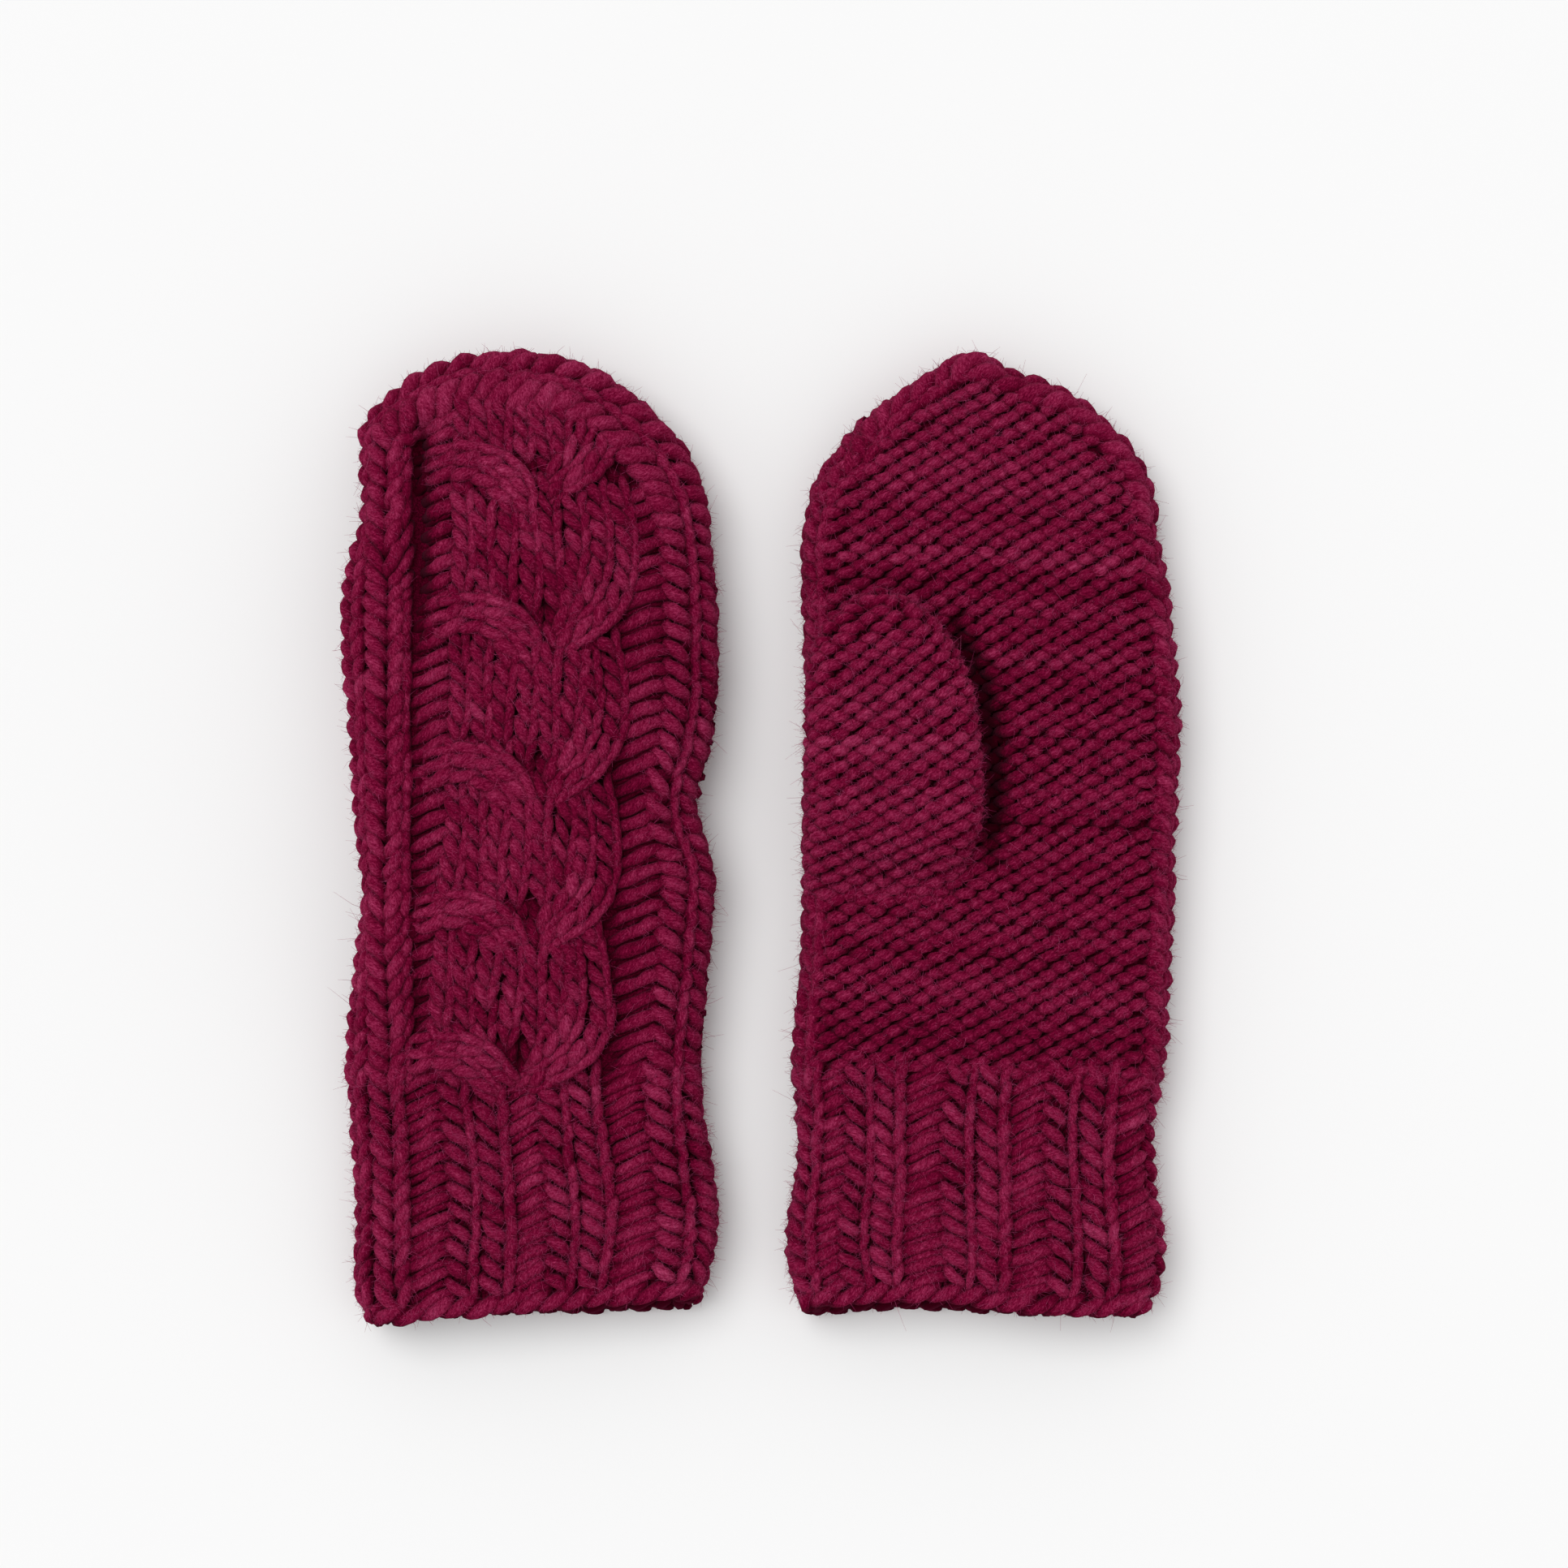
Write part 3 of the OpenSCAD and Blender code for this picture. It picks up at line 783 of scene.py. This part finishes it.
def thumb_field(t):
    """Purl rows right round the thumb. They climb to the right towards its tip, and close over it."""
    yarn = Yarn()
    tip = float(t.line[:, 1].max())
    for travel in np.arange(PALM_START + THUMB_FIRST_ROW * PURL_PITCH, tip + 5.0, PURL_PITCH):
        dome = np.clip((travel - tip + t.EDGE) / t.EDGE, 0, 1.45)
        v = travel if dome == 0 else tip - t.EDGE + t.EDGE * math.sin(dome)
        total = float(t.girth(v)[4])
        count = max(int(round(total / THUMB_STITCH_WIDTH)), 3)
        climb = 4.0 * smoothstep((v - 150) / 40) * (1 - smoothstep((v - 196) / 12))
        left, right = t.edges(v)
        fall = PURL_FALL * (1 - smoothstep((v - 130) / 30))
        # the stitches of neighbouring rows line up along the middle of the thumb
        shift = (0.25 * count) % 1.0

        def y_of(x):
            across = 2 * np.abs(np.mod(x / total, 1.0) - 0.5)
            return v + climb * (0.5 - across) + fall * (right + (left - right) * across)

        borders = (np.arange(count + 1) + shift) * total / count
        # painted light: the thumb's rows are painted a little lighter than the palm's
        purl_row(yarn, t.belt(total), borders, y_of, 0.2 + rng.normal(0, 0.08), 0.6, tone=1.06)
    return yarn


# A bead of the thin cord beside the deep fold: out from its middle, along in rows, height and radius.
CORD_BEAD = np.array([
    (-0.5, -0.8, -1.0, 1.1), (-0.4, -0.42, 0.5, 1.45), (0.0, 0.0, 1.2, 1.7), (0.4, 0.42, 0.6, 1.45),
    (0.5, 0.8, -1.0, 1.1)])
# Knit columns of the bands: (distance round the edge from its side, width, how far the legs slant alike).
THUMB_SIDE_COLUMNS = ((12.9, 10.4, 0.9), (3.2, 9.6, 0.7), (-5.2, 7.6, 0.2))
OUTER_SIDE_COLUMNS = ((12.4, 9.8, 0.0), (2.8, 9.6, 0.3), (-5.8, 7.6, 0.2))
# Where the columns lie on the crown, and how far above the cuff the crown starts on each side.
CROWN_PLACES = (13.6, 3.6, -5.0)
CROWN_STARTS = (184, 160)
# Rows of the bands, and how much taller they get on the crown.
BAND_PITCH = 5.7
CROWN_GROWTH = 1.8
# How far above the cuff the band's straight inner column ends, and where the cord ends and lies.
STRAIGHT_END = 178
CORD_END = 188
CORD_PLACE = 18.8


def band_drift(m, arcs, begin):
    """How far the thumb side's inner column moves over the waving edge, so that it runs straight."""
    innermost = THUMB_SIDE_COLUMNS[0][0]
    e = m.band_u - np.interp(np.minimum(arcs, begin + STRAIGHT_END), m.arc, m.line[:, 0])
    round_part = quarter_turn(m.EDGE) * np.arccos(1 - np.clip(e / m.EDGE, 0, 1)) / (math.pi / 2)
    return round_part + np.maximum(e - m.EDGE, 0) - innermost


def cord(yarn, chart, arcs, place):
    """The thin cord that closes the thumb side's band, beside the deep fold."""
    n = len(arcs)
    beads = np.repeat(CORD_BEAD[None], n, 0)
    beads[..., 0] = place(beads[..., 0]) + rng.normal(0, 0.12, (n, 1))
    beads[..., 1] = arcs[:, None] + BAND_PITCH * beads[..., 1] + rng.normal(0, 0.2, (n, 1))
    beads[..., 3] *= 1 + rng.normal(0, 0.06, (n, 1))
    lay_yarn(yarn, chart, beads, 3, 1 + rng.normal(0, 0.06, n))


def edge_bands(m):
    """Knit columns up both sides and over the fingertips."""
    thumb_side, outer_side, crown_yarn = Yarn(), Yarn(), Yarn()
    total = m.arc[-1]
    vs = m.line[:, 1]
    peak = np.argmax(vs)
    top = m.arc[peak]
    start_left = np.interp(CUFF_TOP, vs[:peak], m.arc[:peak]) - 1
    start_right = total - np.interp(CUFF_TOP, vs[peak:][::-1], m.arc[peak:][::-1]) - 1
    # yarn, direction round the edge, first and last place along it, start of the crown, columns
    tracks = (
        (thumb_side, 1, start_left, top, CROWN_STARTS[0], THUMB_SIDE_COLUMNS),
        (outer_side, -1, start_right, total - top, CROWN_STARTS[1], OUTER_SIDE_COLUMNS),
    )
    for side_yarn, flip, begin, end, turn, columns in tracks:
        rim = m.rim(flip)

        def chart(x, y, d):
            return rim(x, y if flip > 0 else total - y, d)

        arcs = [begin]
        while arcs[-1] < end - 3:
            growth = CROWN_GROWTH * smoothstep((arcs[-1] - begin - turn - 5) / 20)
            arcs.append(arcs[-1] + BAND_PITCH + growth)
        arcs = np.array(arcs)
        crown = smoothstep((arcs - begin - turn) / 24)
        cut = begin + turn + 3
        low, high = arcs <= cut, arcs > cut - 2
        drift = band_drift(m, arcs, begin) if side_yarn is thumb_side else np.zeros(len(arcs))
        for (q, w, vee), crown_q in zip(columns, CROWN_PLACES):
            # the inner column takes all of the drift, and those further round the edge take less
            qs = q + drift * np.clip((q + 12) / 24.9, 0, 1)
            qs = -m.palm * flip * (qs + (crown_q - qs) * crown)
            width = w * (1 + 0.08 * crown)
            places = np.stack([qs, arcs, width])
            knit_column(side_yarn, chart, *places[:, low], 0.5, VEE_LOOP, vee, 1.04)
            knit_column(crown_yarn, chart, *places[:, high], 0.9, CROWN_LOOP, crown[high], 1.17)
        if side_yarn is thumb_side:
            use = arcs < begin + CORD_END
            where = drift[use, None]
            cord(side_yarn, chart, arcs[use], lambda out: -m.palm * flip * (CORD_PLACE + where + out))
    return thumb_side, outer_side, crown_yarn


GUTTER_PITCH = 5.25


def back_gutters(m):
    """Purl ladders beside the cable. A deep fold runs up beside the thumb side's band."""
    yarn = Yarn()
    chart = m.face(-m.palm)
    vs = np.arange(CUFF_TOP + 1.0, 268, GUTTER_PITCH)
    fold = smoothstep((vs - 190) / 20) * (1 - smoothstep((vs - 260) / 8))

    # painted shade, darker in the deep fold beside the thumb side's band
    def dim(x, y):
        return 1 - 0.9 * m.crease(-m.palm * x, y, -m.palm) / FOLD

    for x0, x1, slope in ((m.band_u + 8.2 + 3.2 * fold, -20.5, 0.50), (23.5, 39.5, 0.42)):
        near, far = (x0, x1) if m.mirror > 0 else (-np.asarray(x1), -np.asarray(x0))
        near, far = (np.broadcast_to(a, vs.shape) for a in (near, far))
        e = np.minimum(m.sample(m.e, -m.palm * near, vs), m.sample(m.e, -m.palm * far, vs))
        use = e > 4.5
        ladder(yarn, chart, near[use], far[use], vs[use], GUTTER_PITCH, HAND_STRANDS, slope, 0.1, dim)
    return yarn


# The edges of the cable on the back of the hand, as (v, left edge, middle, right edge).
CABLE_COURSE = np.array([
    (40, -29.0, -5.0, 23.0), (77, -29.0, -4.0, 24.0), (100, -29.0, -1.5, 26.5), (118, -26.5, -0.5, 24.5),
    (140, -24.0, 0.5, 27.5), (160, -24.0, 1.7, 26.0), (182, -23.0, 2.8, 30.0), (203, -23.0, 4.3, 28.5),
    (225, -22.0, 3.5, 31.0), (247, -21.5, 1.9, 26.0), (262, -22.0, 0.5, 24.0), (330, -22.0, 0.0, 24.0)])
# The middle of each crossing.
CABLE_CROSSINGS = ((-4.0, 77.0), (-0.5, 118.0), (1.7, 160.0), (4.3, 203.0), (1.9, 247.0))
# The strands of a crossing, from its middle outwards: two arch over to the thumb side, two climb away.
LEFT_ARMS = (
    ((-2.2, -10.0), (-4.2, -3.6), (-9.4, 2.0), (-17.0, 4.8), (-25.0, 4.6), (-31.5, 2.2)),
    ((-6.2, -12.5), (-8.6, -7.4), (-13.2, -2.6), (-19.5, 0.2), (-26.0, 0.2), (-32.5, -2.0)),
)
RIGHT_ARMS = (
    ((2.4, -10.0), (6.4, -6.0), (13.2, -1.8), (19.0, 2.8), (22.2, 9.0), (22.8, 17.0), (22.6, 27.0),
     (21.8, 37.0), (21.6, 43.0)),
    ((1.8, -4.0), (5.0, -0.6), (9.8, 3.2), (13.4, 7.6), (15.4, 13.0), (15.9, 20.0), (15.7, 28.0),
     (15.2, 37.0), (15.0, 44.0)),
)
# Distance from the cable's middle to its right edge for which those arms are drawn.
ARM_REACH = 26.0
# The cable ends under the crown.
CABLE_END = (0.5, 292.0)


def resample(points, spacing):
    """Evenly spaced points along a polyline, and how far along it each one is, from 0 to 1."""
    length = np.concatenate([[0], np.cumsum(np.linalg.norm(np.diff(points, axis=0), axis=1))])
    count = max(int(round(length[-1] / spacing)), 2)
    at = np.linspace(0, length[-1], count + 1)
    return np.stack([np.interp(at, length, points[:, i]) for i in (0, 1)], 1), at / length[-1]


def cable_arm(arm, cx, cv, after, outward):
    """One strand of the crossing at (cx, cv), with its lift and how tight it is pulled."""
    path = np.array(arm) + (cx, cv)
    if outward > 0:
        reach = np.interp(path[:, 1], CABLE_COURSE[:, 0], CABLE_COURSE[:, 3] - CABLE_COURSE[:, 2])
        path[:, 0] = cx + (path[:, 0] - cx) * reach / ARM_REACH
        # the climbing pair keeps going as the two outer columns
        path = path[path[:, 1] < after + 4]
    path, along = resample(curve_through(path[None], 10)[0], 6.2)
    over = np.sin(np.clip(along * (1.05 if outward < 0 else 2.0), 0, 1) * math.pi)
    ends = smoothstep((1 - along) * (6 if outward < 0 else 9)) * smoothstep(along * 6)
    return path, -1.2 + 2.6 * ends + 2.1 * over, 0.50 * np.clip(1.6 * over, 0, 1)


def cable_column(slot, cv, after, outward):
    """One straight column between two crossings, with its lift. It dips under both of them."""
    v = np.arange(cv - 4.0, after + 2.0, 1.0)
    left, middle, right = (np.interp(v, CABLE_COURSE[:, 0], CABLE_COURSE[:, c]) for c in (1, 2, 3))
    x = middle + outward * slot * ((middle - left) if outward < 0 else (right - middle)) / 4
    x = x + 0.7 * np.sin(v / 6.5 + slot * 2.2 * outward)
    path, _ = resample(np.stack([x, v], 1), 5.6)
    lift = 2.0 - 2.6 * (1 - smoothstep((path[:, 1] - cv) / 10))
    return path, lift - 2.6 * smoothstep((path[:, 1] - after + 8) / 8)


def cable(m):
    """Two mirrored cables of four columns. At each crossing the inner pairs sweep out over the outer ones."""
    yarn = Yarn()
    chart = m.face(-m.palm)
    marks = CABLE_CROSSINGS + (CABLE_END,)
    # path, lift, loop that is mixed in, its share, width and thickness
    knit = []
    for (cx, cv), (_, after) in zip(marks, marks[1:]):
        for arms, slots, outward in ((LEFT_ARMS, (0.5, 1.5, 2.5, 3.5), -1), (RIGHT_ARMS, (0.5, 1.5), 1)):
            for arm in arms:
                path, lift, pulled = cable_arm(arm, cx, cv, after, outward)
                knit.append((path, lift, LONG_LOOP, pulled, 6.2, 0.96))
            for slot in slots:
                path, lift = cable_column(slot, cv, after, outward)
                knit.append((path, lift, VEE_LOOP, 0.5, 6.6, 0.84))
    for path, lift, loop, share, width, fat in knit:
        x = path[:, 0] * m.mirror
        e = m.sample(m.e, -m.palm * x, path[:, 1])
        use = (e > np.where(path[:, 1] > 250, 10.5, 7.5)) & (path[:, 1] > CUFF_TOP - 4)
        if use.sum() < 3:
            continue
        widths = width * (1 + rng.normal(0, 0.07, use.sum()))
        share = np.broadcast_to(share, x.shape)[use]
        # painted shade and light: darker where the cable dips under a crossing, lighter where it stands up
        # over one
        tone = 0.865 + 0.048 * lift[use]
        knit_column(yarn, chart, x[use], path[use, 1], widths, lift[use], loop, share, fat, tone)
    return yarn


# Smooth layers: depth below the middle of the knitting, wall, first v, distance of its end from the tip.
KNIT_GROUND = (0.7, 0.0, 2.0, 0.5)
HAND_FLEECE = (3.6, 1.4, 5.0, 3.0)
THUMB_GROUND = (0.9, 0.0, 118.0, 0.5)
THUMB_FLEECE = (2.6, 0.9, 132.0, 2.5)
# Height of the dome that closes a layer at its tip.
DOME = 16


def shell(name, m, material, layer, half=(0.0, 1.0), tone=0.62):
    """A smooth layer inside the yarn. half is the part of the way round that it covers. On wool, tone paints
    it darker than the yarn, as painted shade in the gaps between the loops.
    """
    depth, wall, v0, short = layer
    v1 = float(m.line[:, 1].max()) - short
    ring = m.ring()
    tip = np.linspace(0, 1, 16)[1:] * math.pi / 2
    vs = np.concatenate([np.linspace(v0, v1 - DOME, 60), v1 - DOME + DOME * np.sin(tip)])
    gx, gv = np.meshgrid(np.linspace(*half, 73), vs, indexing="ij")
    ni, nj = gx.shape
    points, quads = [], []
    for k, d in enumerate((depth, depth + wall) if wall else (depth,)):
        p, _ = ring(np.clip(gx, 1e-6, 1 - 1e-6), gv, np.full(gx.shape, -d))
        idx = np.arange(ni * nj).reshape(ni, nj) + k * ni * nj
        q = np.stack([idx[:-1, :-1], idx[:-1, 1:], idx[1:, 1:], idx[1:, :-1]], -1).reshape(-1, 4)
        quads.append(q if k == 0 else q[:, ::-1])
        points.append(p.reshape(-1, 3))
    points = np.concatenate(points)
    tones = np.full(len(points), tone)
    return make_piece(name, points, np.concatenate(quads).tolist(), points, tones, material)


# A stitch that ties the lining to the hem: across in stitch widths, up, height and radius in millimetres.
LINING_STITCH = np.array([
    (-0.32, 3.4, -4.2, 0.4), (-0.1, 4.6, -3.1, 0.5), (0.1, 5.8, -3.1, 0.5), (0.32, 7.0, -4.2, 0.4)])


def lining_stitches(m):
    yarn = Yarn()
    count = int(float(m.girth(5.0)[4]) / 5)
    points = np.repeat(LINING_STITCH[None], count, 0)
    points[..., 0] = ((np.arange(count) + 0.5) / count)[:, None] + points[..., 0] / count
    lay_yarn(yarn, m.ring(), points, 3, 1.0)
    return yarn


# Fibres that stand out of the yarn: shortest length, spread of lengths, thickness and places of the joints.
LOOSE_FIBRES = (0.7, 0.42, 0.062, (0.0, 0.45, 1.0))
SHORT_NAP = (0.45, 0.22, 0.055, (0.0, 1.0))


def fuzz(name, yarns, count, kind):
    """Fibres that stand out of the lit side of the yarn."""
    shortest, spread, thick, joints = kind
    verts = np.concatenate([a for yarn in yarns for a in yarn.verts])
    outs = np.concatenate([a for yarn in yarns for a in yarn.out])
    tones = np.concatenate([a for yarn in yarns for a in yarn.tone])
    pick = rng.choice(np.flatnonzero(tones > 0.9), count)
    start, out = verts[pick], outs[pick]
    swirl = rng.normal(0, 1, (count, 3))
    way = out * rng.uniform(0.1, 0.8, (count, 1)) + swirl * 0.45
    way /= np.linalg.norm(way, axis=1, keepdims=True)
    bend = rng.normal(0, 0.7, (count, 3))
    length = shortest + np.minimum(rng.gamma(2.0, spread, (count, 1)), 2.4)
    t = np.array(joints)[None, :, None]
    path = (start - out * 0.2)[:, None] + (way * length)[:, None] * t + (bend * length)[:, None] * t**2
    normal = np.broadcast_to(np.cross(way, swirl)[:, None], path.shape)
    radius = np.broadcast_to(thick * (1 - 0.58 * t[..., 0]), (count, len(joints))).copy()
    hair = Yarn()
    tones = np.broadcast_to(rng.uniform(0.8, 1.15, (count, 1)), radius.shape)
    hair.add(path, normal, radius, tones, sides=3)
    return hair.make(name, FUZZ)


# ---- build the pair

# Kind of fibre, its name, how many on each face of the hand and how many on the thumb.
FIBRES = ((LOOSE_FIBRES, "fuzz", 13500, 4500), (SHORT_NAP, "nap", 23500, 9000))


def show(obj, body, *nodes):
    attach(obj, body)
    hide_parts(*nodes)


def bend_thumb(obj, t, *nodes):
    """Bake the thumb fabric's place into its mesh and hide the parts in nodes."""
    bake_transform(obj)
    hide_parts(*nodes)


def build_linings(m, n, body):
    """The smooth ground under the knitting and the fleece inside it."""
    # painted shade: the knit ground is painted darker than the yarn in the gaps between the loops
    ground = shell(n + "knit_ground", m, WOOL, KNIT_GROUND, tone=0.72)
    show(ground, body, n + "back_panel", n + "palm_panel")
    halves = ((0.5, 1.0), (0.0, 0.5)) if m.palm > 0 else ((0.0, 0.5), (0.5, 1.0))
    for face, half in zip(("back", "palm"), halves):
        fleece = shell(n + "fleece_" + face, m, FLEECE, HAND_FLEECE, half)
        show(fleece, body, n + "lining_" + face)
    show(lining_stitches(m).make(n + "lining_stitches", THREAD, "thread"), body, n + "lining_seam")


def build_thumb(t, n, thumb):
    bend_thumb(thumb.make(n + "thumb_purl_rows", WOOL), t, n + "thumb_shell", n + "thumb_join")
    bend_thumb(shell(n + "thumb_ground", t, WOOL, THUMB_GROUND), t, n + "thumb_shell")
    bend_thumb(shell(n + "thumb_fleece", t, FLEECE, THUMB_FLEECE), t, n + "lining_thumb")


def build_mitten(m):
    t = Thumb(m)
    n = m.name + "_"
    body = n + "hand"
    ribs, gutters = cuff(m)
    rim = hem(m)
    palm = palm_field(m)
    thumb_side, outer_side, crown = edge_bands(m)
    ladders = back_gutters(m)
    plait = cable(m)
    thumb = thumb_field(t)
    knitting = (
        (ribs, "cuff_rib_columns", "rib_cuff"),
        (gutters, "cuff_gutter_strands", "rib_cuff"),
        (rim, "hem_cord", "hem_edge"),
        (palm, "palm_purl_rows", "palm_panel"),
        (thumb_side, "thumb_side_columns", "thumb_side_band"),
        (outer_side, "outer_side_columns", "outer_side_band"),
        (crown, "crown_columns", "crown_band"),
        (ladders, "back_purl_strands", "back_panel"),
        (plait, "cable_columns", "back_cable"),
    )
    for yarn, piece, node in knitting:
        show(yarn.make(n + piece, WOOL), body, n + node)
    build_linings(m, n, body)
    build_thumb(t, n, thumb)
    for kind, what, count, thumb_count in FIBRES:
        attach(fuzz(n + "back_" + what, (ladders, plait, crown, thumb_side, ribs), count, kind), body)
        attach(fuzz(n + "palm_" + what, (palm, outer_side, gutters, ribs, rim), count, kind), body)
        bend_thumb(fuzz(n + "thumb_" + what, (thumb,), thumb_count, kind), t)


build_mitten(Mitten("right", -67.2, RIGHT_OUTLINE, -1))
build_mitten(Mitten("left", 66.2, LEFT_OUTLINE, 1))

# ---- camera, light and floor

CAMERA_PLACE = (0.0061, 0.0162, 1.288)
CAMERA_LENS = 100
WORLD_STRENGTH = 0.66
KEY_STRENGTH = 1.40
KEY_ANGLE = 40
KEY_DIRECTION = (0.34, -0.30, -1.0)
FLOOR_REACH = 3
scene = bpy.context.scene


def add(name, data):
    obj = bpy.data.objects.new(name, data)
    scene.collection.objects.link(obj)
    return obj


def add_camera():
    data = bpy.data.cameras.new("camera")
    data.lens = CAMERA_LENS
    data.sensor_width = 36
    scene.camera = add("camera", data)
    scene.camera.location = CAMERA_PLACE


def add_light():
    """A white surround, and a broad soft light from the upper left."""
    world = bpy.data.worlds.new("studio")
    scene.world = world
    world.use_nodes = True
    set_inputs(world.node_tree.nodes["Background"], Color=(1, 1, 1, 1), Strength=WORLD_STRENGTH)
    data = bpy.data.lights.new("key", "SUN")
    data.energy = KEY_STRENGTH
    data.angle = math.radians(KEY_ANGLE)
    key = add("key", data)
    key.rotation_euler = Vector(KEY_DIRECTION).to_track_quat("-Z", "Y").to_euler()


def add_floor():
    mesh = bpy.data.meshes.new("floor")
    corners = [(x * FLOOR_REACH, y * FLOOR_REACH, 0) for x, y in ((-1, -1), (1, -1), (1, 1), (-1, 1))]
    mesh.from_pydata(corners, [], [(0, 1, 2, 3)])
    mat, nodes, _ = new_material("floor")
    set_inputs(nodes["Principled BSDF"], Base_Color=(0.9, 0.9, 0.9, 1), Roughness=0.8)
    mesh.materials.append(mat)
    add("floor", mesh)


add_camera()
add_light()
add_floor()
scene.view_settings.view_transform = "Standard"
scene.view_settings.look = "None"

bpy.context.view_layer.update()
